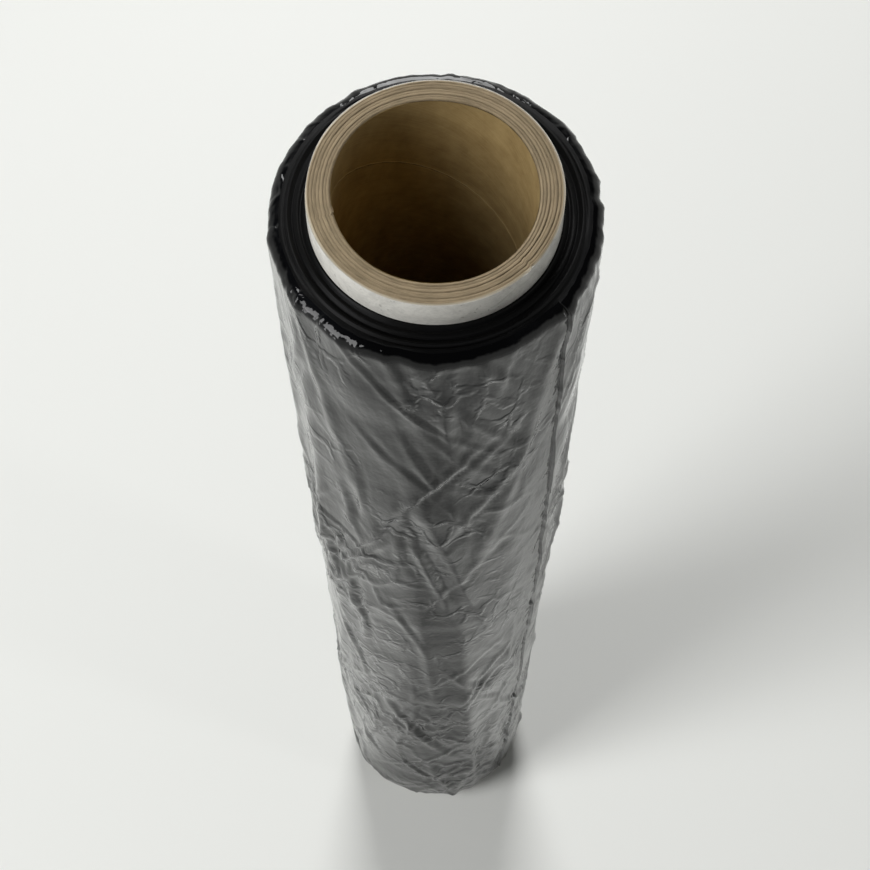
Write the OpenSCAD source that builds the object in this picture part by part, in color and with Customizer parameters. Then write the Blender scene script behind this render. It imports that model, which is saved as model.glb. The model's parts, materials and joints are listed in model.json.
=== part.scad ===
// Hand roll of black stretch wrap: film wound on a cardboard core that stands out at both ends.
// The roll stands on the lower rim of its core, with +Z up along its axis. Sizes are in millimetres.

/* [Core] */
// Inside diameter of the core, which goes over a dispenser's spindle
bore_d = 50; // [38:1:80]
// Thickness of the core's wall
core_wall = 6; // [3:0.5:12]
// Length of bare core past the film at each end
core_overhang = 9.5; // [4:0.5:60]
// Layers of board that show as rings on the cut ends
core_plies = 7; // [3:2:11]
// How far every second layer stands back from the cut
ply_relief = 0.3; // [0.1:0.05:0.6]
// Softened edge round the cut ends
rim_bevel = 0.4; // [0.1:0.05:0.6]

/* [Film] */
// Width of the film
film_w = 500; // [250:10:750]
// Depth of film wound on the core
film_build = 10.3; // [7:0.1:60]
// Bundles of turns that show as rings on the roll's ends
turn_bundles = 10; // [4:1:16]
// How far the bundles stand out of line with each other
bundle_stagger = 0.8; // [0.2:0.1:1.5]
// Rounding of the outer edge, where the last turns have drawn in
shoulder = 3; // [1:0.5:5]

/* [Outer turn] */
// Step at the loose end of the film, thicker than the film so that it shows
tail_step = 0.6; // [0.2:0.1:1]
// Where the loose end lies round the roll, in degrees from +X
tail_angle = 320; // [0:5:355]
// How far the loose end bows out of line with the axis, in degrees
tail_bow = 10; // [0:1:40]

/* [Wrinkles] */
// Number of long wrinkles in the outer turn
wrinkle_count = 34; // [0:1:60]
// Height of the largest wrinkle
wrinkle_h = 1.6; // [0.2:0.1:2]
// Half width of the widest wrinkle
wrinkle_w = 4; // [3:0.5:12]
// Half length of the longest wrinkle
wrinkle_l = 120; // [30:5:250]
// Largest slant of a wrinkle from the roll's axis, in degrees
wrinkle_slant = 14; // [0:1:30]

/* [Fineness] */
// Facets of the outer turn round the roll
skin_columns = 124; // [48:4:132]
// Rows of facets along the film
skin_rows = 30; // [12:1:40]

/* [Hidden] */
$fn = 160;
full_turn = 360;
quarter_turn = full_turn/4;
half_turn = full_turn/2;

core_r_in = bore_d/2;
core_r = core_r_in + core_wall;
core_l = film_w + 2*core_overhang;
ply = core_wall/core_plies;
bevel = min(rim_bevel, ply/2);

film_r = core_r + film_build;
film_low = core_overhang;
film_high = film_low + film_w;

// the outer turn's end faces lie just behind the bundle that stands back the most
skin_gap = 0.2;
skin_low = film_low + bundle_stagger + skin_gap;
skin_high = film_high - bundle_stagger - skin_gap;
// the bundles end inside the outer turn's rounded edge
bundles_r = film_r - shoulder - tail_step - skin_gap;
bundle = (bundles_r - core_r)/turn_bundles;

core_tan = [0.66, 0.56, 0.40];
film_black = [0.05, 0.05, 0.06];

function part_of(x) = x - floor(x);
// an even scatter of numbers from 0 to 1, a different one for each key
function scatter(i, key) = part_of((i + 1)*[0.8191725, 0.6710436, 0.5497005, 0.4503049, 0.7548777][key] + 0.37*key);
function near_turn(a) = a - full_turn*round(a/full_turn);

// how far bundle i stands back from the film's edge: the first one marks the full width
function stand_back(i) = bundle_stagger*pow(sin(i*53), 2);

// the loose end's direction at height z: a long bow along the roll
function tail_at(z) = tail_angle + tail_bow*sin(half_turn*(z - film_low)/film_w);

// height of wrinkle i at direction a and height z: a soft crest that fades along its length
function wrinkle(i, a, z) =
    let (
        from_middle = z - film_low - film_w*scatter(i, 0),
        slant = wrinkle_slant*(2*scatter(i, 1) - 1),
        across = near_turn(a - full_turn*scatter(i, 4))*PI/half_turn*film_r - from_middle*tan(slant),
        width = wrinkle_w*(0.55 + 0.45*scatter(i, 2)),
        length = wrinkle_l*(0.35 + 0.65*scatter(i, 3)),
        crest = wrinkle_h*(0.35 + 0.65*scatter(i, 2))
    )
    crest*exp(-pow(across/width, 2) - pow(from_middle/length, 2));

function tallest_wrinkle(a, z) =
    wrinkle_count == 0 ? 0 : max([for (i = [0:wrinkle_count - 1]) wrinkle(i, a, z)]);

// the outer turn's rows from its lower edge up, as [height, how far the edge is rounded in]
round_steps = 3;
function edge_row(k) = let (t = quarter_turn*k/round_steps) [shoulder*(1 - cos(t)), shoulder*(1 - sin(t))];
body_low = skin_low + shoulder;
body_high = skin_high - shoulder;
skin_levels = concat(
    [for (k = [0:round_steps]) [skin_low + edge_row(k)[0], edge_row(k)[1]]],
    [for (j = [1:skin_rows - 1]) [body_low + (body_high - body_low)*j/skin_rows, 0]],
    [for (k = [round_steps:-1:0]) [skin_high - edge_row(k)[0], edge_row(k)[1]]]
);

// a point of the outer turn: the film spirals in by one step from its loose end, round to under it again
function skin_point(level, u) =
    let (
        z = level[0],
        a = tail_at(z) + full_turn*u,
        calm = 1 - 0.6*level[1]/shoulder,
        r = film_r - level[1] - tail_step*u + calm*tallest_wrinkle(a, z)
    )
    [r*cos(a), r*sin(a), z];

module outer_turn() {
    columns = skin_columns + 1;
    rows = len(skin_levels);
    points = [for (level = skin_levels) for (i = [0:skin_columns]) skin_point(level, i/skin_columns)];
    sides = [
        for (j = [0:rows - 2]) for (i = [0:columns - 1])
            let (
                next = (i + 1) % columns,
                low = j*columns + i,
                low_next = j*columns + next,
                high = low + columns,
                high_next = low_next + columns
            )
            each [[low, high, high_next], [low, high_next, low_next]]
    ];
    lower_end = [for (i = [0:columns - 1]) i];
    upper_end = [for (i = [columns - 1:-1:0]) (rows - 1)*columns + i];
    polyhedron(points = points, faces = concat(sides, [lower_end, upper_end]), convexity = 6);
}

// the inner turns in bundles, each a ring that runs from end to end and stands back a little at both
module bundles() {
    for (i = [0:turn_bundles - 1])
        translate([0, 0, film_low + stand_back(i)])
            cylinder(r = core_r + (i + 1)*bundle, h = film_w - 2*stand_back(i));
}

module cardboard_core() color(core_tan) {
    difference() {
        rotate_extrude()
            polygon([
                [core_r_in + bevel, 0], [core_r - bevel, 0], [core_r, bevel], [core_r, core_l - bevel],
                [core_r - bevel, core_l], [core_r_in + bevel, core_l], [core_r_in, core_l - bevel], [core_r_in, bevel]
            ]);
        for (i = [1:2:core_plies - 2], z = [0, core_l])
            translate([0, 0, z - ply_relief])
                difference() {
                    cylinder(r = core_r_in + (i + 1)*ply, h = 2*ply_relief);
                    translate([0, 0, -ply_relief])
                        cylinder(r = core_r_in + i*ply, h = 4*ply_relief);
                }
    }
}

module film_winding() color(film_black) {
    difference() {
        union() {
            bundles();
            outer_turn();
        }
        translate([0, 0, film_low - core_overhang])
            cylinder(r = core_r, h = core_l);
    }
}

cardboard_core();
film_winding();
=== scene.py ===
# %% [markdown]
# # A roll of stretch wrap
#
# The object is a hand roll: black polyethylene film, about 0.02 mm thick, wound under tension on a
# spiral-wound cardboard tube. Two things have to look right. The board is dull and fibrous, and its
# cut end shows the plies it was glued up from. The film is a hard, glossy black whose wrinkles are
# only seen by what they do to the light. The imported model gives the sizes, and this script puts
# finely made surfaces where its two solids are.

# %% The frame
import json

import bmesh
import bpy
import numpy as np
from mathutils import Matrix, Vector

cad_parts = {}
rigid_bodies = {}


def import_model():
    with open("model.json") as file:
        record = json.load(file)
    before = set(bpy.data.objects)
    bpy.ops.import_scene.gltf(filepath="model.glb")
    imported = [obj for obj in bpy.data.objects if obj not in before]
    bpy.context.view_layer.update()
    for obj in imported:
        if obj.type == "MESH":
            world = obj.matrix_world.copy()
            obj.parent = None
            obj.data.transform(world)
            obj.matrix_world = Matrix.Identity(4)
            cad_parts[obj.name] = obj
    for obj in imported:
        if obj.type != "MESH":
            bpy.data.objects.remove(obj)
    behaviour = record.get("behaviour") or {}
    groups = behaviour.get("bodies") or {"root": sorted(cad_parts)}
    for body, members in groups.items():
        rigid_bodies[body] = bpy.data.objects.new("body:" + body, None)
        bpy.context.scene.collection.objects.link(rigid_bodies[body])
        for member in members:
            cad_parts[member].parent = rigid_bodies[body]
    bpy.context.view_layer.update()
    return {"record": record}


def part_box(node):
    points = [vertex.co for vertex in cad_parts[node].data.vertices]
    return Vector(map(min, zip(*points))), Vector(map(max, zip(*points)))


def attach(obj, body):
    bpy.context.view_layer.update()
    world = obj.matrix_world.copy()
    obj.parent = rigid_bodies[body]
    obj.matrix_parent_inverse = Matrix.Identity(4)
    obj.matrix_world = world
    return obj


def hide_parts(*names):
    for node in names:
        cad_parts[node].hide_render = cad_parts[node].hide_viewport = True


for leftover in list(bpy.data.objects):
    bpy.data.objects.remove(leftover)
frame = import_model()

# %% [markdown]
# ## Sizes
#
# Lengths are in metres, so a millimetre has a name of its own. What the frame can tell is read from
# it: the core's length and radius, the bore, and where the film starts and ends. The few sizes below
# it are the model's own driving sizes, which the solids don't state one by one.

# %% Sizes of the core and the film
MM = 0.001
TURN = 2*np.pi

core_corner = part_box("cardboard_core")[1]
film_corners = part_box("film_winding")
bore_mount = next(m for m in frame["record"]["mounts"] if m["name"] == "core_bore")

CORE_L = core_corner.z
CORE_R = core_corner.x
BORE_R = bore_mount["dims"]["r_mm"]*MM
FILM_LOW = film_corners[0].z
FILM_HIGH = film_corners[1].z
FILM_W = FILM_HIGH - FILM_LOW

FILM_BUILD = 10.3*MM
FILM_R = CORE_R + FILM_BUILD
PLIES = 7
PLY = (CORE_R - BORE_R)/PLIES
print(f"core {CORE_L/MM:.1f} mm long, bore {BORE_R/MM:.1f} mm radius, film {FILM_W/MM:.1f} mm wide")

# %% [markdown]
# ## Surfaces from arrays
#
# Both pieces are tubes: a closed profile carried once round the axis. A Screw modifier could spin such
# a profile, but what it spins is the same all the way round, and here each point has a radius of its
# own. So each tube is worked out as a grid of points, whose rows close on themselves and whose columns
# do too, like a doughnut, and the grid is handed to the mesh as whole arrays.


# %% The quads of a closed grid
def closed_quads(rows, columns):
    """The corners of each quad of a grid that joins up both ways, as numbers of its points: a point, the
    one in the next row, that one's neighbour in the next column, and the point's own neighbour."""
    row, column = np.meshgrid(np.arange(rows), np.arange(columns), indexing="ij")
    next_row = (row + 1) % rows
    next_column = (column + 1) % columns
    return np.stack([
        row*columns + column,
        next_row*columns + column,
        next_row*columns + next_column,
        row*columns + next_column,
    ], axis=-1)


def quad_places(around, along):
    """The UV place of each quad's corners: U is the share of a turn, and V the distance along the axis.
    The last column's far side counts on past a whole turn, so that no quad is smeared back over the
    map."""
    around_end = np.append(around, around[0] + 1)
    along_end = np.append(along, along[-1])
    row, column = np.meshgrid(np.arange(len(along)), np.arange(len(around)), indexing="ij")
    near_side = around_end[column]
    far_side = around_end[column + 1]
    start = along_end[row]
    end = along_end[row + 1]
    u = np.stack([near_side, near_side, far_side, far_side], axis=-1)
    v = np.stack([start, end, end, start], axis=-1)
    return np.stack([u, v], axis=-1)


print("a closed grid of 3 by 4 points has", len(closed_quads(3, 4).reshape(-1, 4)), "quads")

# %% [markdown]
# foreach_set fills a mesh from flat arrays, which is hundreds of times faster than adding faces one by
# one. The film's last column lies on its first wherever the spiral's step doesn't part them, so points
# in the same place are welded afterwards.

# %% From a grid of points to a mesh
WELD = 1e-7


def tube_mesh(name, points, around, along, kinds):
    """Joins points[row, column] into a closed tube. The rows run up the bore, outwards, down the outside
    and inwards, so that faces point outwards. around and along give each column's and each row's place
    in the UV map, and kinds gives each row's material."""
    rows, columns = points.shape[:2]
    # a grid that joins up both ways has as many points as quads
    quads = rows*columns
    mesh = bpy.data.meshes.new(name)
    mesh.vertices.add(quads)
    mesh.vertices.foreach_set("co", points.astype(np.float32).ravel())
    mesh.loops.add(4*quads)
    mesh.loops.foreach_set("vertex_index", closed_quads(rows, columns).astype(np.int32).ravel())
    mesh.polygons.add(quads)
    mesh.polygons.foreach_set("loop_start", np.arange(0, 4*quads, 4, dtype=np.int32))
    mesh.polygons.foreach_set("material_index", np.repeat(kinds, columns).astype(np.int32))
    mesh.polygons.foreach_set("use_smooth", np.ones(quads, dtype=bool))
    mesh.uv_layers.new(name="UVMap")
    mesh.uv_layers[0].data.foreach_set("uv", quad_places(around, along).astype(np.float32).ravel())
    mesh.update(calc_edges=True)
    weld = bmesh.new()
    weld.from_mesh(mesh)
    bmesh.ops.remove_doubles(weld, verts=weld.verts, dist=WELD)
    weld.to_mesh(mesh)
    weld.free()
    mesh.validate()
    piece = bpy.data.objects.new(name, mesh)
    bpy.context.scene.collection.objects.link(piece)
    print(f"{name}: {rows} rows by {columns} columns, {2*len(mesh.polygons)} triangles")
    return piece


def from_polar(radius, angle, height):
    """Points at a radius and an angle round the axis, at a height."""
    return np.stack([radius*np.cos(angle), radius*np.sin(angle), height + 0*angle], axis=-1)


# %% [markdown]
# ## Unevenness
#
# Nothing that is wound or cut is quite even. Noise could give that, but noise has to be made to meet
# itself again after a turn. A sum of waves with whole numbers of crests does so by itself. Beside it
# stand a smooth hump, and an even scatter of numbers that is the same on every run, because it uses no
# random draw at all.


# %% Waves, humps and scatter
def waves(angle, height, key, around, along, count=9):
    """The sum of count cosines, scaled to about -1 to 1. Each has a whole number of waves round the
    roll, up to around, and a length along it of at least along, so the sum joins up with itself."""
    draw = np.random.default_rng(key)
    total = 0*angle + 0*height
    for _ in range(count):
        turns = draw.integers(0, around + 1)
        pitch = draw.uniform(-1, 1)*TURN/along
        total = total + np.cos(turns*angle + pitch*height + draw.uniform(0, TURN))
    return total/np.sqrt(2*count)


def hump(x, middle, half_width):
    """1 in the middle, fading smoothly to 0 on both sides, as a Gaussian."""
    return np.exp(-((x - middle)/half_width)**2)


def near_turn(angle):
    """The same direction, as an angle from minus half a turn to half a turn."""
    return angle - TURN*np.round(angle/TURN)


def scatter(i, key):
    """A number from 0 to 1 that is spread evenly over the whole numbers i: the fraction of a multiple
    of an irrational number. It matches the scatter that the solids use."""
    step = (0.8191725, 0.6710436, 0.5497005, 0.4503049, 0.7548777)[key]
    return ((i + 1)*step + 0.37*key) % 1


print("the first five of a scatter:", np.round(scatter(np.arange(5), 0), 2))

# %% [markdown]
# ## The cardboard core
#
# A core is wound from strips of board, edge to edge, each strip on a slant. The edges of the inner
# strip leave a thin seam that climbs the bore like a screw thread. Bump could draw it, but it is a
# real step that catches the light and nicks the rim, so it belongs in the mesh. Straight columns would
# need thousands to follow the slant. Columns that climb with the seam need few: every row of the grid
# is turned a little further than the one below, so the seam stays on one column all the way up.

# %% The core's columns, which climb with the strips
SEAM_PITCH = 110*MM
INNER_SEAM = np.radians(196)
OUTER_SEAM = np.radians(318)
CORE_COLUMNS = 288
SEAM_LINES = np.array([-1.4, -0.8, -0.45, -0.2, 0, 0.2, 0.45, 0.8, 1.4])*MM
SEAM_CLEARANCE = 2*MM

even_columns = np.arange(CORE_COLUMNS)*TURN/CORE_COLUMNS
clear = np.ones(CORE_COLUMNS, dtype=bool)
seam_columns = []
for seam in (INNER_SEAM, OUTER_SEAM):
    clear &= np.abs(near_turn(even_columns - seam))*BORE_R > SEAM_CLEARANCE
    seam_columns.append((seam + SEAM_LINES/CORE_R) % TURN)
core_columns = np.sort(np.concatenate([even_columns[clear], *seam_columns]))
strip_w = SEAM_PITCH*np.cos(np.arctan(SEAM_PITCH/(TURN*BORE_R)))
print(f"{len(core_columns)} columns, and a strip of board is {strip_w/MM:.0f} mm wide")

# %% [markdown]
# The columns climb by one turn in 110 mm. Under the film nothing shows, so there the columns of the
# outside make less than one turn from end to end, which saves rows.

# %% How far the columns have turned
STUB = 12*MM


def strip_turn(height):
    """How far the strips have turned at a height, counted from the upper rim."""
    return TURN*(height - CORE_L)/SEAM_PITCH


covered_turn = strip_turn(STUB) - TURN*np.round(strip_turn(STUB)/TURN)


def outside_turn(height):
    """The same for the outside, with whole turns left out where the film hides it."""
    if STUB < height < CORE_L - STUB:
        return np.interp(height, [STUB, CORE_L - STUB], [covered_turn, strip_turn(CORE_L - STUB)])
    return strip_turn(height)


print(f"the bore's columns make {-strip_turn(0)/TURN:.1f} turns from end to end")

# %% [markdown]
# Each cut end has seven plies. A saw leaves every ply's edge a little higher or lower than its
# neighbours, and where the glue let go, a dark gap opens between two of them. The photograph shows
# such gaps on one side of the rim only, so their depth follows a hump round the rim. Six points
# across each ply are enough for a soft crown and a narrow gap.

# %% The cut ends
PLY_POINTS = np.array([0.03, 0.11, 0.32, 0.68, 0.89, 0.97])
RIM_BEVEL = 0.4*MM
BEVEL_W = 0.25*MM
PLY_RELIEF = 0.3*MM
PLY_SWAY = 0.06*MM
PLY_CROWN = 0.10*MM
GAP_DEPTH = 0.70*MM
GAP_W = 0.07
GAP_SIDE = np.radians(8)
GAP_SPREAD = 0.6
SAW_MARK = 0.05*MM
DEEPEST_CUT = 1.2*MM


def rim_drop(radius, angle, key):
    """How far the cut stands back from a flat end: the ply's own step, its soft crown, the gaps
    between plies, saw marks, and the rounded inner and outer edges."""
    place = np.clip((radius - BORE_R)/PLY, 0, PLIES - 1e-6)
    ply = np.floor(place)
    across = place - ply
    step = PLY_RELIEF*(0.10 + 0.35*(ply % 2) + 0.35*scatter(ply + key, 2))
    step = step + PLY_SWAY*waves(angle + 2*ply, ply, 12 + key, 7, 0.5)
    crown = PLY_CROWN*(2*across - 1)**4
    edge = np.minimum(across, 1 - across)
    boundary = np.round(place)
    from_open_side = near_turn(angle - GAP_SIDE - 0.9*scatter(boundary + key, 1) + 0.45)
    open_side = 0.10 + np.exp(-(from_open_side/GAP_SPREAD)**2)
    depth = GAP_DEPTH*open_side*(0.2 + 0.8*scatter(boundary + key, 3))
    gap = depth*np.exp(-(edge/GAP_W)**2)
    inside = (boundary > 0.5) & (boundary < PLIES - 0.5)
    saw = SAW_MARK*waves(angle + ply, radius*200, 11 + key, 60, 0.4)
    rounded = RIM_BEVEL*(hump(radius, BORE_R, BEVEL_W) + hump(radius, CORE_R, BEVEL_W))
    return np.clip(step + crown + gap*inside + saw + rounded, 0, DEEPEST_CUT)


ply_radii = BORE_R + PLY*(np.arange(PLIES)[:, None] + PLY_POINTS).ravel()
rim_radii = np.concatenate([[BORE_R], ply_radii, [CORE_R]])
print(f"{len(rim_radii)} rows over a cut end, plies {PLY/MM:.2f} mm thick")

# %% [markdown]
# The wall's own unevenness is small: the bore is a fraction of a millimetre out of round near the
# cut, the seam is a narrow groove with one edge of the strip standing up beside it, and the bare
# ends outside are slightly crushed from handling.

# %% The core's walls
SEAM_GROOVE = 0.30*MM
GROOVE_W = 0.35*MM
SEAM_LIP = 0.26*MM
LIP_W = 0.45*MM
LIP_BESIDE = -0.9*MM
STRIP_SWELL = 0.05*MM
BORE_WEAR = 0.22*MM
WORN_LENGTH = 6*MM
BARE_RUB = 0.12*MM
KNOCK = 0.3*MM


def seam_relief(column, seam):
    """Depth of a seam beside a column: a groove, and a lifted strip edge on one side of it."""
    beside = near_turn(column - seam)*BORE_R
    return SEAM_GROOVE*hump(beside, 0, GROOVE_W) - SEAM_LIP*hump(beside, LIP_BESIDE, LIP_W)


def bore_radius(column, angle, height):
    """The bore wall: the seam's groove, a faint swelling of the strips, and a worn edge at the cut."""
    from_end = np.minimum(height, CORE_L - height)
    wear = BORE_WEAR*waves(angle, height, 3, 5, 0.2)*np.exp(-from_end/WORN_LENGTH)
    return BORE_R + seam_relief(column, INNER_SEAM) + STRIP_SWELL*waves(angle, height, 4, 6, 0.03) + wear


def outside_radius(column, angle, height):
    """The outside wall: flat under the film, rubbed and knocked in by up to 0.4 mm on the bare ends."""
    from_end = np.minimum(height, CORE_L - height)
    bare = np.clip(1 - from_end/(FILM_LOW - 0.5*MM), 0, 1)
    knocks = np.clip(0.5 + 0.5*waves(angle, height, 6, 9, 0.02), 0, 1)
    return CORE_R - bare*(seam_relief(column, OUTER_SEAM) + BARE_RUB + KNOCK*knocks**2*bare)


print(f"seam groove {SEAM_GROOVE/MM:.2f} mm deep, knocks up to {(BARE_RUB + KNOCK)/MM:.2f} mm")

# %% [markdown]
# Rows could stand evenly, but most of them would be spent where nothing happens. They stand close
# together where the cut has worn the wall, and far apart where the film hides it.

# %% The heights of the rows
end_steps = np.array([0.25, 0.6, 1.1, 1.8, 2.8, 4, 5.5, 7.5])*MM
bore_middle = np.linspace(10*MM, CORE_L - 10*MM, 165)
bore_heights = np.concatenate([end_steps, bore_middle, CORE_L - end_steps[::-1]])
stub_steps = np.append(end_steps, [9.5*MM, STUB])
covered = np.linspace(CORE_L - STUB, STUB, 24)[1:-1]
outside_heights = np.concatenate([CORE_L - stub_steps, covered, stub_steps[::-1]])
print(f"{len(bore_heights)} rows in the bore, {len(outside_heights)} outside")

# %% [markdown]
# The profile runs up the bore, out over the upper cut end, down the outside and back in over the lower
# cut end. Each row carries the finish of the faces that start at it: cut board, bore paper or liner.

# %% The core's rows
CUT_BOARD, BORE_PAPER, OUTER_LINER = 0, 1, 2
core_rows = []
core_kinds = []
core_along = []


def core_row(radius, angle, height, kind):
    """Adds one row of the core's profile: radius and height may vary from column to column."""
    core_rows.append(from_polar(radius, angle, height))
    core_kinds.append(kind)
    core_along.append(np.mean(height))


def rim_row(radius, end, upwards, key):
    """Adds one row of a cut end. It follows the bore's worn edge inside and the knocked edge outside,
    and between them a mix of the two by the share of the wall's thickness."""
    angle = core_columns + strip_turn(end)
    worn = bore_radius(core_columns, angle, end) - BORE_R
    knocked = outside_radius(core_columns, angle, end) - CORE_R
    share = (radius - BORE_R)/(CORE_R - BORE_R)
    edge = radius + worn*(1 - share) + knocked*share
    core_row(edge, angle, end - upwards*rim_drop(radius, angle, key), CUT_BOARD)


deepest = max(rim_drop(radius, core_columns, 0).max() for radius in rim_radii)
print(f"the deepest place of the upper cut end is {deepest/MM:.2f} mm down")

# %% [markdown]
# A lathe would turn this profile in one step, but here every row asks the walls above for its own
# radii. The last row of each stretch takes the finish of the next one, since its faces lead there.

# %% The core's mesh
for height in bore_heights:
    angle = core_columns + strip_turn(height)
    core_row(bore_radius(core_columns, angle, height), angle, height, BORE_PAPER)
core_kinds[-1] = CUT_BOARD
for radius in rim_radii:
    rim_row(radius, CORE_L, 1, 0)
core_kinds[-1] = OUTER_LINER
for height in outside_heights:
    angle = core_columns + outside_turn(height)
    core_row(outside_radius(core_columns, angle, height), angle, height, OUTER_LINER)
core_kinds[-1] = CUT_BOARD
for radius in rim_radii[::-1]:
    rim_row(radius, 0, -1, 5)
core_kinds[-1] = BORE_PAPER
core_points = np.array(core_rows)
core_tube = tube_mesh("spiral_wound_core", core_points, core_columns/TURN, core_along, core_kinds)

# %% [markdown]
# ## The film
#
# The winding is one mesh too. Its outside is a spiral, like the real one: from the film's loose end
# the radius shrinks by one step on the way round, and the step shows as a slightly bowed edge along
# the roll. Each row starts at that edge, so the step falls between the last column and the first,
# and extra columns beside it keep it crisp.

# %% The film's columns, which start at the loose end
TAIL_STEP = 0.6*MM
TAIL_ANGLE = np.radians(320)
TAIL_BOW = np.radians(10)
FILM_COLUMNS = 262

beside_tail = np.array([0, 0.12, 0.3, 0.7, 1.3])*MM/(TURN*FILM_R)
film_around = np.concatenate([
    beside_tail,
    np.linspace(0, 1, FILM_COLUMNS + 1)[3:-3],
    1 - beside_tail[::-1],
])


def film_angle(height):
    """The direction of each column at a height: the loose end's bow, and then once round the roll."""
    return TAIL_ANGLE + TAIL_BOW*np.sin(np.pi*(height - FILM_LOW)/FILM_W) + TURN*film_around


print(f"{len(film_around)} columns, about {TURN*FILM_R/FILM_COLUMNS/MM:.1f} mm apart")

# %% [markdown]
# Wrinkles are what make film look like film. Cloth simulation could crumple the outer turn, but film
# under tension doesn't fall into folds: it keeps the creases that hands pressed into it. The long soft
# wrinkles are the same as in the solid, by the same formula, so the two agree.

# %% Long wrinkles
WRINKLES = 34
WRINKLE_H = 1.6*MM
WRINKLE_W = 4.0*MM
WRINKLE_L = 120*MM
WRINKLE_SLANT = np.radians(14)


def long_wrinkles(angle, height):
    """The tallest of the long wrinkles at each point. One is a crest of Gaussian section across the
    roll that fades as a Gaussian along it."""
    tallest = 0*angle
    for i in range(WRINKLES):
        from_middle = height - FILM_LOW - FILM_W*scatter(i, 0)
        slant = WRINKLE_SLANT*(2*scatter(i, 1) - 1)
        across = near_turn(angle - TURN*scatter(i, 4))*FILM_R - from_middle*np.tan(slant)
        width = WRINKLE_W*(0.55 + 0.45*scatter(i, 2))
        length = WRINKLE_L*(0.35 + 0.65*scatter(i, 3))
        crest = WRINKLE_H*(0.35 + 0.65*scatter(i, 2))
        tallest = np.maximum(tallest, crest*np.exp(-(across/width)**2 - (from_middle/length)**2))
    return tallest


print(f"{WRINKLES} wrinkles, up to {WRINKLE_H/MM:.1f} mm high")

# %% [markdown]
# Handling crushes the last turns against the roll. Crushed film is a net of sharp little creases with
# tilted facets between them. Halfway lines between scattered points make such a net: each point of
# the surface asks how far its nearest and its second nearest neighbours are, and where the two are
# equal there is a crease. Towards the nearest point the film rises or dips to a height of that
# point's own, which tilts the facets. A slow wave lets whole patches lie smoother.

# %% Crushed patches
CELLS = 520
CRUSH_H = 0.85*MM
CRUSH_W = 1.5*MM
FACET_H = 0.55*MM
BEND_TURN = 0.08
BEND_H = 7*MM
# a distance along the roll counts for less, so the facets are longer that way
UPRIGHT = 0.6


def crushed(angle, height):
    """Height of a net of creases with facets between them. A crease falls off from its halfway line as
    an exponential of the second nearest distance d2 less the nearest d1. A facet's height goes from 0
    at the halfway lines to its own value at the point, as (d2 - d1)/(d2 + d1)."""
    draw = np.random.default_rng(8)
    sites = draw.uniform((0, FILM_LOW), (TURN, FILM_HIGH), (CELLS, 2))
    facet_heights = FACET_H*draw.uniform(-1, 1, CELLS)
    bent_angle = angle + BEND_TURN*waves(angle, height, 51, 14, 0.05)
    bent_height = height + BEND_H*waves(angle, height, 52, 12, 0.04)
    nearest = 1 + 0*bent_angle
    second = 2 + 0*bent_angle
    facet = 0*bent_angle
    for (site_angle, site_height), facet_height in zip(sites, facet_heights):
        away = np.hypot(near_turn(bent_angle - site_angle)*FILM_R, UPRIGHT*(bent_height - site_height))
        facet = np.where(away < nearest, facet_height, facet)
        second = np.minimum(second, np.maximum(nearest, away))
        nearest = np.minimum(nearest, away)
    patches = np.clip(0.35 + 0.9*waves(angle, height, 53, 3, 0.16), 0, 1)
    tilted = facet*(0.35 + 0.65*patches)*(second - nearest)/(second + nearest)
    return CRUSH_H*patches*np.exp(-(second - nearest)/CRUSH_W) + tilted


print(f"a facet is about {np.sqrt(TURN*FILM_R*FILM_W/CELLS)/MM:.0f} mm across")

# %% [markdown]
# Fingernails and box edges leave short creases that cross the net at any slant up to 34 degrees. Each
# has a crest with a hollow beside it, because film that rises in one place is drawn from the next.

# %% Short creases
CREASES = 200
CREASE_SLANT = 34
CREASE_BOW = 4
CREASE_W = (1.1, 2.0)
CREASE_L = (9, 40)
CREASE_H = (0.2, 0.9)


def short_creases(angle, height):
    """The sum of narrow, slightly curved creases of 0.2 to 0.9 mm. The section is a Gaussian crest less
    0.6 of another one beside it, and it fades as a Gaussian along the crease."""
    draw = np.random.default_rng(21)
    total = 0*angle
    for _ in range(CREASES):
        from_middle = height - FILM_LOW - FILM_W*draw.uniform(0, 1)
        lean = np.tan(np.radians(draw.uniform(-CREASE_SLANT, CREASE_SLANT)))
        across = near_turn(angle - draw.uniform(0, TURN))*FILM_R - from_middle*lean
        across = across + from_middle**2*draw.uniform(-CREASE_BOW, CREASE_BOW)
        width = draw.uniform(*CREASE_W)*MM
        length = draw.uniform(*CREASE_L)*MM
        crest = draw.uniform(*CREASE_H)*MM
        section = np.exp(-(across/width)**2) - 0.6*np.exp(-((across - 1.7*width)/width)**2)
        total = total + crest*section*np.exp(-(from_middle/length)**2)
    return total


print(f"{CREASES} creases, up to {CREASE_H[1]} mm high")

# %% [markdown]
# The film's thickness varies across its width, and after hundreds of turns this shows as low bands
# round the roll. Between the creases the last turn is slack and swells a little. Near both ends the
# edge of the film has drawn in and puckered.

# %% The whole relief of the outer turn
BAND_H = 0.06*MM
WANDER_H = 0.10*MM
SLACK_H = 0.36*MM
PUCKER_H = 0.16*MM
PUCKER_REACH = 11*MM


def film_relief(angle, height):
    """How far the outer turn stands above an even winding: the sum of all its unevenness."""
    from_end = np.minimum(height - FILM_LOW, FILM_HIGH - height)
    bands = BAND_H*waves(0*angle, height, 31, 0, 0.012, 7) + WANDER_H*waves(angle, height, 32, 3, 0.05)
    slack = SLACK_H*waves(angle, height, 34, 14, 0.026, 16)
    puckers = PUCKER_H*waves(angle, height, 33, 80, 0.03, 24)*np.exp(-from_end/PUCKER_REACH)
    wrinkles = long_wrinkles(angle, height) + short_creases(angle, height)
    return wrinkles + crushed(angle, height) + bands + slack + puckers


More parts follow.
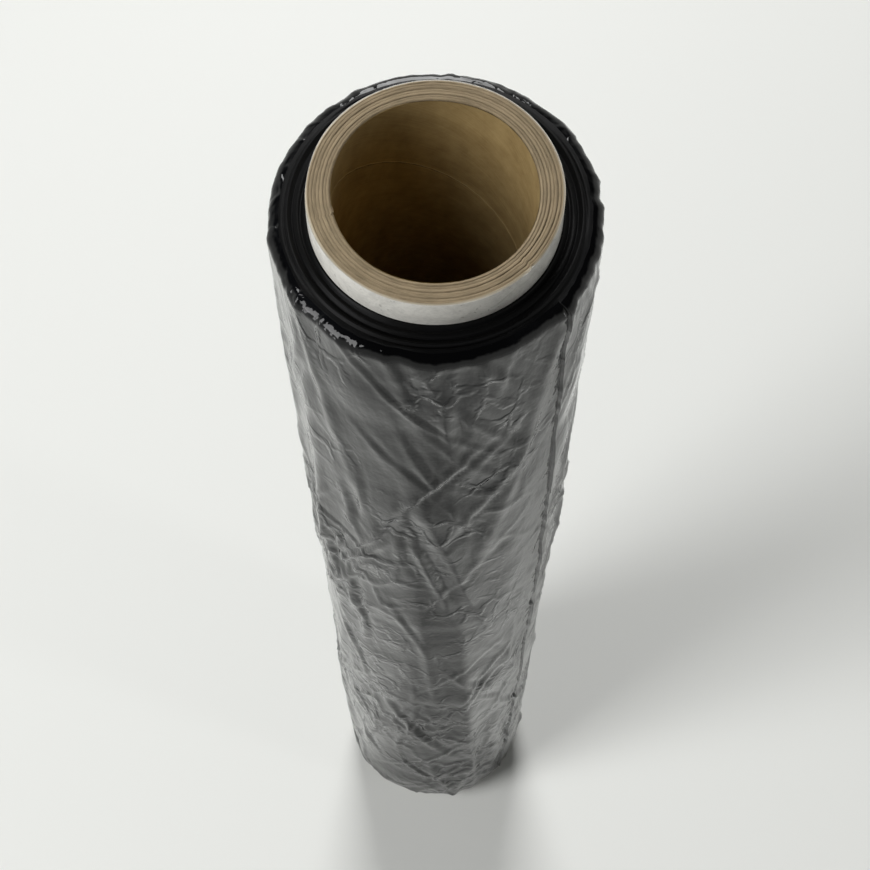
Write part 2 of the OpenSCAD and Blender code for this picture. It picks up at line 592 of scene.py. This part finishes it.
one_line = np.linspace(FILM_LOW, FILM_HIGH, 500)
relief = film_relief(0*one_line, one_line)/MM
print(f"along one line the relief goes from {relief.min():.1f} to {relief.max():.1f} mm")

# %% [markdown]
# At the ends the turns lie on edge. They went on in bundles that wandered a little to and fro, so the
# end is a set of rings at slightly different depths, and the last turns round over into the outside.

# %% The film's ends
BUNDLES = 10
BUNDLE_STAGGER = 0.8*MM
BUNDLE_PHASE = np.radians(53)
BUNDLE_CROWN = 0.08*MM
BUNDLE_SWAY = 0.10*MM
SHOULDER = 3*MM
SKIN_GAP = 0.2*MM
BUNDLES_R = FILM_R - SHOULDER - TAIL_STEP - SKIN_GAP
BUNDLE = (BUNDLES_R - CORE_R)/BUNDLES
BUNDLE_POINTS = np.array([0.07, 0.93])

bundle_radii = CORE_R + BUNDLE*(np.arange(BUNDLES)[:, None] + BUNDLE_POINTS).ravel()
edge_radii = np.append(CORE_R, bundle_radii)[:, None]


def end_drop(radius, angle, key):
    """How far the turns at a radius stand back from the film's edge: their bundle's own step, with a
    rounded crown and a slow wander round the roll."""
    place = (radius - CORE_R)/BUNDLE
    bundle = np.clip(np.floor(place), 0, BUNDLES - 1)
    step = BUNDLE_STAGGER*np.sin(BUNDLE_PHASE*bundle)**2
    crown = BUNDLE_CROWN*(2*(place - bundle) - 1)**2
    wander = BUNDLE_SWAY*(1 + waves(angle + bundle, radius*60, 41 + key, 4, 0.3, 5))
    return step + crown + np.clip(wander, 0, 1)


print(f"{BUNDLES} bundles of turns, {BUNDLE/MM:.2f} mm each")

# %% [markdown]
# The outside's rows stand closer together near the ends, where it turns over. Each row of the round
# edge lies a little further in and a little nearer the end.

# %% The rows of the outer turn
skin_high = FILM_HIGH - BUNDLE_STAGGER - SKIN_GAP
skin_low = FILM_LOW + BUNDLE_STAGGER + SKIN_GAP
round_edge = np.radians([0, 15, 30, 45, 60, 75])
round_inset = SHOULDER*(1 - np.sin(round_edge))
round_drop = SHOULDER*(1 - np.cos(round_edge))
near_end = np.array([3, 4.2, 5.6, 7.2, 9])*MM
FROM_END = 10.7*MM
skin_middle = np.linspace(skin_high - FROM_END, skin_low + FROM_END, 296)

skin_heights = np.concatenate([
    skin_high - round_drop, skin_high - near_end, skin_middle, skin_low + near_end[::-1],
    skin_low + round_drop[::-1],
])[:, None]
flat_rows = len(skin_middle) + 2*len(near_end)
skin_insets = np.concatenate([round_inset, np.zeros(flat_rows), round_inset[::-1]])[:, None]
print(f"{len(skin_heights)} rows, {(skin_middle[0] - skin_middle[1])/MM:.1f} mm apart in the middle")

# %% [markdown]
# The loose edge of the film stands a little off the turn below it, and lies down within a few
# millimetres. The relief is calmer where the edge rounds over, because the film is tight there.

# %% The outer turn
LOOSE_EDGE = 0.25*MM
LOOSE_REACH = 3*MM


def skin_radius(height, inset):
    """The spiral outside: the even winding less its step so far, its relief, and the loose edge, whose
    lift falls off as an exponential of the distance from it."""
    angle = film_angle(height)
    calm = 1 - 0.6*inset/SHOULDER
    past_tail = film_around*TURN*FILM_R
    loose = LOOSE_EDGE*(1 + waves(angle[:, :1], height, 35, 0, 0.05))*np.exp(-past_tail/LOOSE_REACH)
    return FILM_R - inset - TAIL_STEP*film_around + calm*(film_relief(angle, height) + loose)


print(f"the loose end's step is {TAIL_STEP/MM:.1f} mm, at {np.degrees(TAIL_ANGLE):.0f} degrees")

# %% [markdown]
# Inside, the film lies flat on the core, where three rows are enough. From there the profile goes out
# over the upper end, down the outer turn and back in over the lower end.

# %% The film's mesh
SKIN, EDGES = 0, 1

inside_heights = np.array([FILM_LOW + 2*MM, (FILM_LOW + FILM_HIGH)/2, FILM_HIGH - 2*MM])[:, None]
high_angle = film_angle(np.array([[FILM_HIGH]]))
low_angle = film_angle(np.array([[FILM_LOW]]))
film_points = np.concatenate([
    from_polar(CORE_R, film_angle(inside_heights), inside_heights),
    from_polar(edge_radii, high_angle, FILM_HIGH - end_drop(edge_radii, high_angle, 0)),
    from_polar(skin_radius(skin_heights, skin_insets), film_angle(skin_heights), skin_heights),
    from_polar(edge_radii[::-1], low_angle, FILM_LOW + end_drop(edge_radii[::-1], low_angle, 3)),
])
end_rows = len(edge_radii)
film_kinds = np.repeat([EDGES, SKIN, EDGES], [3 + end_rows, len(skin_heights) - 1, 1 + end_rows])
film_along = film_points[:, :, 2].mean(axis=1)
film_turns = tube_mesh("wound_stretch_film", film_points, film_around, film_along, film_kinds)

# %% [markdown]
# ## Finishes
#
# Each finish is one Principled shader with nodes in front of it. Colours are written as they look on
# a screen, in sRGB hex, and turned to the linear values that light adds up in. One function adds any
# node, with a value or a link for each input.


# %% Colours and nodes
def linear(colour):
    """The linear RGBA of an sRGB hex value. Dark channels are divided by 12.92, the others follow a
    power curve of 2.4."""
    channels = np.array([int(colour[k:k + 2], 16) for k in (1, 3, 5)])/255
    return *np.where(channels <= 0.04045, channels/12.92, ((channels + 0.055)/1.055)**2.4).tolist(), 1


def add(tree, kind, inputs, **properties):
    """Adds one node. inputs gives each input, by name or number, its value or the socket that feeds
    it, and properties are the node's own settings."""
    new = tree.nodes.new("ShaderNode" + kind)
    for name, value in properties.items():
        setattr(new, name, value)
    for name, value in inputs.items():
        if isinstance(value, bpy.types.NodeSocket):
            tree.links.new(value, new.inputs[name])
        else:
            new.inputs[name].default_value = value
    return new


def finish(name, **constants):
    """A material with a Principled shader, whose constant inputs are set here. Returns the material, its
    node tree and the shader."""
    material = bpy.data.materials.new(name)
    material.use_nodes = True
    tree = material.node_tree
    tree.nodes.clear()
    settings = {key.replace("_", " "): value for key, value in constants.items()}
    shader = add(tree, "BsdfPrincipled", settings)
    add(tree, "OutputMaterial", {"Surface": shader.outputs[0]})
    return material, tree, shader


print("half of full brightness on a screen is", round(linear("#808080")[0], 2), "of the light")

# %% [markdown]
# ### The cut board
#
# The rim is greyboard sawn across: unbleached waste paper, matt and a little fuzzy, with the edges of
# the plies as rings. Paper has an index of refraction of about 1.45 and no shine on a cut. Both the
# ring pattern and the fibres need polar coordinates. The distance from the axis picks the ply, and the
# direction, as a point on a circle, carries the fibres round without a join. Fibres in board lie flat,
# so on the cut they are 2 to 3 mm long and very thin: 0.05 mm in truth, drawn here at 0.15 mm so that
# they still show from nearly half a metre away.

# %% Greyboard: the ply and the fibre at each point
BOARD_IOR = 1.45
FIBRE_LENGTH = 2.4*MM
FIBRE_WIDTH = 0.15*MM

cut_core_board, tree, shader = finish("cut_core_board", Roughness=0.93, IOR=BOARD_IOR)
place = add(tree, "TexCoord", {}).outputs["Object"]
flat = add(tree, "VectorMath", {0: place, 1: (1, 1, 0)}, operation="MULTIPLY").outputs[0]
radius = add(tree, "VectorMath", {0: flat}, operation="LENGTH").outputs["Value"]
direction = add(tree, "VectorMath", {0: flat}, operation="NORMALIZE").outputs[0]
ply_place = add(
    tree, "MapRange", {"Value": radius, "From Min": BORE_R, "From Max": CORE_R, "To Max": PLIES},
    clamp=False
).outputs[0]
ply = add(tree, "Math", {0: ply_place}, operation="FLOOR").outputs[0]
ply_tone = add(tree, "TexWhiteNoise", {"W": ply}, noise_dimensions="1D").outputs["Value"]
radial = add(tree, "Math", {0: radius, 1: 1/FIBRE_WIDTH}, operation="MULTIPLY").outputs[0]
fibre_place = add(
    tree, "VectorMath", {0: direction, 1: (CORE_R/FIBRE_LENGTH, CORE_R/FIBRE_LENGTH, 0),
                         2: add(tree, "CombineXYZ", {"Z": radial}).outputs[0]},
    operation="MULTIPLY_ADD"
).outputs[0]
fibres = add(
    tree, "TexNoise", {"Vector": fibre_place, "Scale": 1, "Detail": 3, "Roughness": 0.6}
).outputs[0]
blotches = add(tree, "TexNoise", {"Vector": place, "Scale": 1/(7*MM), "Detail": 2}).outputs[0]
print(f"a ply's tone changes every {PLY/MM:.2f} mm, its fibres every {FIBRE_WIDTH/MM:.2f} mm")

# %% [markdown]
# The tone adds up the ply's own shade, the fibres and soft blotches. Glue darkens the lines between
# plies, more in some places than in others, and the outermost ply is the pale liner seen on edge.

# %% Greyboard: its tone
tone = -0.17
for pattern, share in ((ply_tone, 0.35), (fibres, 1.5), (blotches, 0.9)):
    tone = add(tree, "Math", {0: pattern, 1: share, 2: tone}, operation="MULTIPLY_ADD").outputs[0]
tone = add(tree, "MapRange", {"Value": tone, "From Min": 0.75, "From Max": 1.65}).outputs[0]
board = add(
    tree, "Mix", {0: tone, 6: linear("#786A53"), 7: linear("#9F8E72")}, data_type="RGBA"
).outputs[2]
from_glue = add(tree, "Math", {0: ply_place, 1: 0.5}, operation="PINGPONG").outputs[0]
glue_width = add(tree, "MapRange", {"Value": blotches, "From Min": 0.35, "From Max": 0.65,
                                    "To Min": 0.04, "To Max": 0.15}).outputs[0]
glue = add(tree, "MapRange", {"Value": from_glue, "From Min": 0.01, "From Max": glue_width,
                              "To Min": 0.34, "To Max": 0}).outputs[0]
board = add(tree, "Mix", {0: glue, 6: board, 7: linear("#5E4F38")}, data_type="RGBA").outputs[2]
outer_edge = add(
    tree, "MapRange", {"Value": radius, "From Min": CORE_R - 0.75*MM, "From Max": CORE_R - 0.3*MM}
).outputs[0]
board = add(tree, "Mix", {0: outer_edge, 6: board, 7: linear("#CFC6B4")}, data_type="RGBA").outputs[2]
tree.links.new(board, shader.inputs["Base Color"])
fuzz = add(tree, "Bump", {"Height": fibres, "Distance": 0.10*MM, "Strength": 0.7}).outputs[0]
tree.links.new(fuzz, shader.inputs["Normal"])
print("cut board:", len(tree.nodes), "nodes")

# %% [markdown]
# ### The paper in the bore
#
# The innermost ply is plain brown kraft, smooth from the steel mandrel that the core was wound on. Its
# fibres run along the strip, which climbs the bore on a slant. Object coordinates would draw them
# level, so the pattern is drawn in the strip's own directions: the UV map climbs with the columns.
# Its U ends where it starts, so it is bent into a circle first, which leaves no join.

# %% Kraft paper: its fibres
KRAFT_LENGTH = 9*MM
KRAFT_WIDTH = 0.5*MM

kraft_bore_paper, tree, shader = finish("kraft_bore_paper", Roughness=0.78, IOR=BOARD_IOR)
place = add(tree, "TexCoord", {})
strip = add(tree, "SeparateXYZ", {0: place.outputs["UV"]}).outputs
circle_u = add(tree, "Math", {0: strip[0], 1: TURN}, operation="MULTIPLY").outputs[0]
round_u = add(
    tree, "CombineXYZ", {"X": add(tree, "Math", {0: circle_u}, operation="COSINE").outputs[0],
                         "Y": add(tree, "Math", {0: circle_u}, operation="SINE").outputs[0]}
).outputs[0]
along_strip = add(tree, "Math", {0: strip[1], 1: 1/KRAFT_LENGTH}, operation="MULTIPLY").outputs[0]
strip_place = add(
    tree, "VectorMath", {0: round_u, 1: (BORE_R/KRAFT_WIDTH, BORE_R/KRAFT_WIDTH, 0),
                         2: add(tree, "CombineXYZ", {"Z": along_strip}).outputs[0]},
    operation="MULTIPLY_ADD"
).outputs[0]
kraft_fibres = add(tree, "TexNoise", {"Vector": strip_place, "Scale": 1, "Detail": 3}).outputs[0]
mottle = add(
    tree, "TexNoise", {"Vector": place.outputs["Object"], "Scale": 1/(6*MM), "Detail": 4,
                       "Roughness": 0.65}
).outputs[0]
tone = add(tree, "Math", {0: kraft_fibres, 1: 0.5}, operation="MULTIPLY").outputs[0]
tone = add(tree, "Math", {0: mottle, 1: 0.9, 2: tone}, operation="MULTIPLY_ADD").outputs[0]
tone = add(tree, "MapRange", {"Value": tone, "From Min": 0.45, "From Max": 0.95}).outputs[0]
kraft = add(
    tree, "Mix", {0: tone, 6: linear("#8A7348"), 7: linear("#AC9566")}, data_type="RGBA"
).outputs[2]
print(f"kraft fibres {KRAFT_LENGTH/MM:.0f} mm long, {KRAFT_WIDTH/MM:.1f} mm apart")

# %% [markdown]
# A painted shadow darkens the seam's groove. Beside it the edge of the next strip stands up, and a
# painted highlight lies along that edge. Both lines stay at one U, because the map climbs with the
# strip. Each has its full strength up to one distance from its middle, in millimetres, and is gone
# at another.

# %% Kraft paper: the seam, with a painted shadow in its groove and a painted highlight on its edge
MM_OF_U = MM/(TURN*BORE_R)
shaded_seam_u = INNER_SEAM/TURN
highlit_lip_u = shaded_seam_u - 0.9*MM_OF_U

for line_u, full, gone, strength, colour in (
    # the seam's groove, darkened: a painted shadow
    (shaded_seam_u, 0.15, 0.5, 0.85, "#40311A"),
    # the lifted strip edge, lightened: a painted highlight
    (highlit_lip_u, 0.25, 0.6, 0.6, "#C9B587"),
):
    beside = add(tree, "Math", {0: strip[0], 1: line_u}, operation="SUBTRACT").outputs[0]
    beside = add(tree, "Math", {0: beside}, operation="ABSOLUTE").outputs[0]
    line = add(
        tree, "MapRange", {"Value": beside, "From Min": full*MM_OF_U, "From Max": gone*MM_OF_U,
                           "To Min": strength, "To Max": 0}
    ).outputs[0]
    # this mixes the seam's painted shadow and the edge's painted highlight into the paper's colour
    kraft = add(tree, "Mix", {0: line, 6: kraft, 7: linear(colour)}, data_type="RGBA").outputs[2]
tree.links.new(kraft, shader.inputs["Base Color"])
nap = add(tree, "Bump", {"Height": kraft_fibres, "Distance": 0.05*MM, "Strength": 0.5}).outputs[0]
tree.links.new(nap, shader.inputs["Normal"])
print("bore paper:", len(tree.nodes), "nodes")

# %% [markdown]
# ### The liner on the outside
#
# The outer strip is a pale grey liner, whiter than the board under it. It was pressed smooth, so it is
# a little less rough than the cut. Recycled paper has specks, and the bare ends are handled, so soft
# grey scuffs lie over it. The UV map climbs with the strips, which suits neither, so both are drawn in
# Object coordinates. The fibres are three times as long round the core as they are high.

# %% Grey liner paper
grey_liner_paper, tree, shader = finish("grey_liner_paper", Roughness=0.72, IOR=BOARD_IOR)
place = add(tree, "TexCoord", {}).outputs["Object"]
stretched = add(tree, "VectorMath", {0: place, 1: (1, 1, 3)}, operation="MULTIPLY").outputs[0]
liner_fibres = add(
    tree, "TexNoise", {"Vector": stretched, "Scale": 1/(0.8*MM), "Detail": 4}
).outputs[0]
scuffs = add(
    tree, "TexNoise", {"Vector": place, "Scale": 1/(9*MM), "Detail": 5, "Roughness": 0.7,
                       "Distortion": 1.2}
).outputs[0]
tone = add(tree, "Math", {0: scuffs, 1: 1.4}, operation="MULTIPLY").outputs[0]
tone = add(tree, "Math", {0: liner_fibres, 1: 0.6, 2: tone}, operation="MULTIPLY_ADD").outputs[0]
tone = add(tree, "MapRange", {"Value": tone, "From Min": 0.65, "From Max": 1.15}).outputs[0]
liner = add(
    tree, "Mix", {0: tone, 6: linear("#C0BEB7"), 7: linear("#E2E0D9")}, data_type="RGBA"
).outputs[2]
specks = add(tree, "TexNoise", {"Vector": place, "Scale": 1/(1.1*MM), "Detail": 1}).outputs[0]
specks = add(
    tree, "MapRange", {"Value": specks, "From Min": 0.70, "From Max": 0.78, "To Max": 0.6}
).outputs[0]
liner = add(tree, "Mix", {0: specks, 6: liner, 7: linear("#6F6A60")}, data_type="RGBA").outputs[2]
tree.links.new(liner, shader.inputs["Base Color"])
nap = add(tree, "Bump", {"Height": liner_fibres, "Distance": 0.06*MM, "Strength": 0.4}).outputs[0]
tree.links.new(nap, shader.inputs["Normal"])
print("liner:", len(tree.nodes), "nodes")

# %% [markdown]
# ### The black film
#
# Linear low-density polyethylene with carbon black: nearly no colour of its own, an index of refraction
# of 1.51, and a smooth surface that mirrors softly. What the eye reads is gloss, so the base colour
# stays almost black. At the usual specular level of 0.5 its side mirrors so much of a pale floor that
# it looks like grey plastic, so the level is half of that. A coat over a dull black could shine too,
# but film is one skin, and the shader's own gloss is enough. Two things break it: hazy patches where
# air is trapped under the last turn, and fine stretch lines round the roll, where the film was drawn
# over rollers.

# %% Black stretch film: gloss and haze
FILM_IOR = 1.51
SMOOTHEST = 0.03
HAZE_ADDS = 0.05
LINES_ADD = 0.04

black_stretch_film, tree, shader = finish("black_stretch_film", IOR=FILM_IOR, Specular_IOR_Level=0.25)
place = add(tree, "TexCoord", {}).outputs["Object"]
haze = add(
    tree, "TexNoise", {"Vector": place, "Scale": 1/(38*MM), "Detail": 4, "Roughness": 0.6,
                       "Distortion": 0.8}
).outputs[0]
haze = add(tree, "MapRange", {"Value": haze, "From Min": 0.46, "From Max": 0.72}).outputs[0]
flattened = add(tree, "VectorMath", {0: place, 1: (0.12, 0.12, 1)}, operation="MULTIPLY").outputs[0]
stretch_lines = add(
    tree, "TexNoise", {"Vector": flattened, "Scale": 1/(1.6*MM), "Detail": 3, "Roughness": 0.7}
).outputs[0]
gloss = SMOOTHEST
for pattern, share in ((haze, HAZE_ADDS), (stretch_lines, LINES_ADD)):
    gloss = add(tree, "Math", {0: pattern, 1: share, 2: gloss}, operation="MULTIPLY_ADD").outputs[0]
tree.links.new(gloss, shader.inputs["Roughness"])
black = add(
    tree, "Mix", {0: haze, 6: linear("#040405"), 7: linear("#0E0F11")}, data_type="RGBA"
).outputs[2]
tree.links.new(black, shader.inputs["Base Color"])
print(f"the film's roughness goes from {SMOOTHEST} to {SMOOTHEST + HAZE_ADDS + LINES_ADD:.2f}")

# %% [markdown]
# Folds too small and too many for the mesh come from bump: in the hazy patches a net of creases, whose
# cells are about 8 mm wide and twice as high, and everywhere a ripple about 3.5 mm across. The mesh
# holds all that is larger, since bump doesn't change the outline.

# %% Black stretch film: fine folds
upright = add(tree, "VectorMath", {0: place, 1: (1, 1, 0.45)}, operation="MULTIPLY").outputs[0]
sway = add(
    tree, "TexNoise", {"Vector": place, "Scale": 1/(14*MM), "Detail": 3}, normalize=True
).outputs["Color"]
swayed = add(
    tree, "VectorMath", {0: sway, 1: (9*MM, 9*MM, 9*MM), 2: upright}, operation="MULTIPLY_ADD"
).outputs[0]
to_crease = add(
    tree, "TexVoronoi", {"Vector": swayed, "Scale": 1/(8*MM)}, feature="DISTANCE_TO_EDGE"
).outputs["Distance"]
crease = add(
    tree, "MapRange", {"Value": to_crease, "From Max": 0.16, "To Min": 1, "To Max": 0},
    interpolation_type="SMOOTHERSTEP"
).outputs[0]
crease = add(tree, "Math", {0: crease, 1: haze}, operation="MULTIPLY").outputs[0]
ripple = add(tree, "TexNoise", {"Vector": upright, "Scale": 1/(3.5*MM), "Detail": 2}).outputs[0]
fold = add(tree, "Math", {0: ripple, 1: 0.7, 2: crease}, operation="MULTIPLY_ADD").outputs[0]
fold = add(tree, "Math", {0: stretch_lines, 1: 0.08, 2: fold}, operation="MULTIPLY_ADD").outputs[0]
fine_folds = add(tree, "Bump", {"Height": fold, "Distance": 0.36*MM, "Strength": 1}).outputs[0]
tree.links.new(fine_folds, shader.inputs["Normal"])
print("film:", len(tree.nodes), "nodes")

# %% [markdown]
# ### The edges of the turns
#
# Seen from the end, the winding is hundreds of film edges side by side. They were slit, not moulded, so
# they scatter light, and the gaps between them swallow it: the end is blacker and duller than the
# outside. One turn is 0.02 mm, far too fine to see, but the tension changed as it was wound, and that
# leaves rings 0.2 to 1 mm apart. The rings run on the distance from the axis alone, and soft patches
# fade them here and there.

# %% Slit film edges
slit_film_edges, tree, shader = finish("slit_film_edges", IOR=FILM_IOR, Specular_IOR_Level=0.10)
place = add(tree, "TexCoord", {}).outputs["Object"]
flat = add(tree, "VectorMath", {0: place, 1: (1, 1, 0)}, operation="MULTIPLY").outputs[0]
radius = add(tree, "VectorMath", {0: flat}, operation="LENGTH").outputs["Value"]
slow_turn = add(tree, "VectorMath", {0: flat, 1: (12, 12, 0)}, operation="MULTIPLY").outputs[0]
ring_place = add(
    tree, "VectorMath", {0: slow_turn, 1: add(tree, "CombineXYZ", {"Z": radius}).outputs[0]},
    operation="ADD"
).outputs[0]
wide_rings = add(
    tree, "TexNoise", {"W": radius, "Scale": 1/(1.0*MM), "Detail": 4, "Roughness": 0.75},
    noise_dimensions="1D"
).outputs[0]
patches = add(tree, "TexNoise", {"Vector": ring_place, "Scale": 3, "Detail": 3}).outputs[0]
tone = add(tree, "Math", {0: wide_rings, 1: patches}, operation="MULTIPLY").outputs[0]
tone = add(tree, "MapRange", {"Value": tone, "From Min": 0.15, "From Max": 0.42}).outputs[0]
edges = add(
    tree, "Mix", {0: tone, 6: linear("#030303"), 7: linear("#0D0D0E")}, data_type="RGBA"
).outputs[2]
tree.links.new(edges, shader.inputs["Base Color"])
dull = add(tree, "MapRange", {"Value": tone, "To Min": 0.36, "To Max": 0.52}).outputs[0]
tree.links.new(dull, shader.inputs["Roughness"])
rings = add(tree, "Bump", {"Height": wide_rings, "Distance": 0.12*MM, "Strength": 0.8}).outputs[0]
tree.links.new(rings, shader.inputs["Normal"])
print("film edges:", len(tree.nodes), "nodes")

# %% [markdown]
# ## Dressing the two pieces
#
# Each piece gets its finishes in the order that its rows number them. Both ride on the one body that
# the roll has, and each stands for its own solid, which stays in the frame for collision.

# %% Finishes on, and solids replaced
for piece, finishes in (
    (core_tube, (cut_core_board, kraft_bore_paper, grey_liner_paper)),
    (film_turns, (black_stretch_film, slit_film_edges)),
):
    for material in finishes:
        piece.data.materials.append(material)
    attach(piece, "root")
    print(piece.name, "wears", ", ".join(material.name for material in finishes))
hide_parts("cardboard_core")
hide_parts("film_winding")

# %% [markdown]
# ## The studio
#
# A pale matt floor, two large soft boxes, two narrow strip lights and a pale room. Film is a mirror,
# so it shows what stands round it. Seen from above, its side shows the floor: the stronger box stands
# behind, so that the roll's own shadow falls to the front and the film there looks dark between
# brighter flanks. Seen from low down, its side shows the room, and the upright strip lights draw the
# broken streaks of light that make black film look glossy.

# %% Floor
PALE = linear("#EDEEEA")
FLOOR_R = 3.0
FLOOR_SIDES = 96
rim_turn = np.linspace(0, TURN, FLOOR_SIDES, endpoint=False)
floor_points = np.stack([FLOOR_R*np.cos(rim_turn), FLOOR_R*np.sin(rim_turn), 0*rim_turn], -1)
floor_mesh = bpy.data.meshes.new("studio_floor")
floor_mesh.from_pydata(floor_points.tolist(), [], [list(range(FLOOR_SIDES))])
floor = bpy.data.objects.new("studio_floor", floor_mesh)
bpy.context.scene.collection.objects.link(floor)
print(f"floor {2*FLOOR_R:.0f} m across")

# %% [markdown]
# A background that shines would light the object too. Light Path tells a shader what kind of ray asks
# for its colour, so the glow can be kept for the rays that only look.


# %% Rays that only look
def seen_directly(tree):
    """1 for rays that come from the camera, straight or by way of gloss or glass, and 0 for light that
    spreads: a background that shows by this lights nothing that is matt."""
    path = add(tree, "LightPath", {}).outputs
    seen = add(
        tree, "Math", {0: path["Is Camera Ray"], 1: path["Is Glossy Ray"]}, operation="MAXIMUM"
    ).outputs[0]
    return add(tree, "Math", {0: seen, 1: path["Is Transmission Ray"]}, operation="MAXIMUM").outputs[0]


# %% [markdown]
# Far from the roll the floor melts into the background, so that no horizon shows in a low view. Near
# the roll it is plain matt paint, and keeps the shadow.

# %% Floor paint
MELT_START = 0.4
MELT_END = 0.9

pale_studio_floor, tree, shader = finish("pale_studio_floor", Roughness=0.6, Base_Color=PALE)
place = add(tree, "TexCoord", {}).outputs["Object"]
away = add(tree, "VectorMath", {0: place}, operation="LENGTH").outputs["Value"]
melted = add(
    tree, "MapRange", {"Value": away, "From Min": MELT_START, "From Max": MELT_END},
    interpolation_type="SMOOTHSTEP"
).outputs[0]
melted = add(tree, "Math", {0: melted, 1: seen_directly(tree)}, operation="MULTIPLY").outputs[0]
glow = add(tree, "Emission", {"Color": PALE}).outputs[0]
surface = add(tree, "MixShader", {0: melted, 1: shader.outputs[0], 2: glow}).outputs[0]
tree.links.new(surface, tree.nodes["Material Output"].inputs["Surface"])
floor_mesh.materials.append(pale_studio_floor)
print(f"floor paint as far as {MELT_START} m, background from {MELT_END} m")

# %% [markdown]
# A large lamp near the object gives soft shadows, a small one hard ones. The front box lights the bore
# and the rim from the left, the back box makes the shadows on the floor, and the strips are narrow and
# near the floor, because an upright mirror seen from a little above shows what stands low.


# %% Lamps
def soft_lamp(name, direction, aim_height, distance, size, watts):
    """An upright soft box, as wide and high as size says. It stands in a direction, as azimuth and
    elevation in degrees, from a point on the axis, and faces that point. The camera sees its light,
    not the box itself."""
    azimuth, elevation = np.radians(direction)
    outwards = Vector((
        np.cos(elevation)*np.cos(azimuth), np.cos(elevation)*np.sin(azimuth), np.sin(elevation)
    ))
    lamp = bpy.data.lights.new(name, "AREA")
    lamp.shape = "RECTANGLE"
    lamp.size, lamp.size_y = size
    lamp.energy = watts
    holder = bpy.data.objects.new(name, lamp)
    holder.location = Vector((0, 0, aim_height)) + outwards*distance
    holder.rotation_euler = outwards.to_track_quat("Z", "Y").to_euler()
    holder.visible_camera = False
    bpy.context.scene.collection.objects.link(holder)
    print(f"{name}: {watts} W from {holder.location.z:.2f} m up")


soft_lamp("front_lamp", (205, 38), CORE_L, 1.9, (0.7, 1.7), 28.5)
soft_lamp("back_lamp", (92, 42), 0.2, 2.3, (0.8, 1.5), 38.5)
soft_lamp("left_strip", (202, 6), 0.33, 1.25, (0.14, 0.8), 1.9)
soft_lamp("right_strip", (338, 6), 0.33, 1.25, (0.14, 0.8), 1.9)

# %% [markdown]
# The world is the room: pale walls, and darker overhead, which gives the film something dark to mirror
# where a facet tips upwards. What the camera and gloss see of it has full strength, and what it adds to
# the light on the object is only a sixth of that, so that it fills the shadows without flattening them.

# %% Room
ROOM_LIGHT = 0.16
OVERHEAD = linear("#3C3D3D")

world = bpy.data.worlds.new("pale_room")
world.use_nodes = True
tree = world.node_tree
room = tree.nodes["Background"]
sky = add(tree, "SeparateXYZ", {0: add(tree, "TexCoord", {}).outputs["Generated"]}).outputs["Z"]
overhead = add(
    tree, "MapRange", {"Value": sky, "From Min": 0.30, "From Max": 0.72}, interpolation_type="SMOOTHSTEP"
).outputs[0]
walls = add(tree, "Mix", {0: overhead, 6: PALE, 7: OVERHEAD}, data_type="RGBA").outputs[2]
tree.links.new(walls, room.inputs["Color"])
strength = add(
    tree, "MapRange", {"Value": seen_directly(tree), "To Min": ROOM_LIGHT, "To Max": 1}
).outputs[0]
tree.links.new(strength, room.inputs["Strength"])
bpy.context.scene.world = world
print("room light:", ROOM_LIGHT)

# %% [markdown]
# ## The camera
#
# The photograph looks at the roll's end from about 31 degrees off its axis and from 13 or 14 core
# radii away, near enough for the far end to look clearly smaller. Here the roll stands up, so the
# camera looks down on it from the front, by the same angle and distance.

# %% Camera
camera_data = bpy.data.cameras.new("photo_view")
camera_data.lens = 72.64
camera_data.sensor_width = 36
camera_data.clip_start = 0.01
camera = bpy.data.objects.new("photo_view", camera_data)
camera.location = (0, -0.2151, 0.8780)
aim = Vector((0, 0, 0.370))
camera.rotation_euler = (aim - camera.location).to_track_quat("-Z", "Y").to_euler()
bpy.context.scene.collection.objects.link(camera)
bpy.context.scene.camera = camera
bpy.context.scene.view_settings.view_transform = "Standard"

from_rim = camera.location - Vector((0, 0, CORE_L))
off_axis = np.degrees(from_rim.angle(Vector((0, 0, 1))))
print(f"camera {from_rim.length/CORE_R:.1f} core radii from the rim, {off_axis:.1f} degrees off axis")
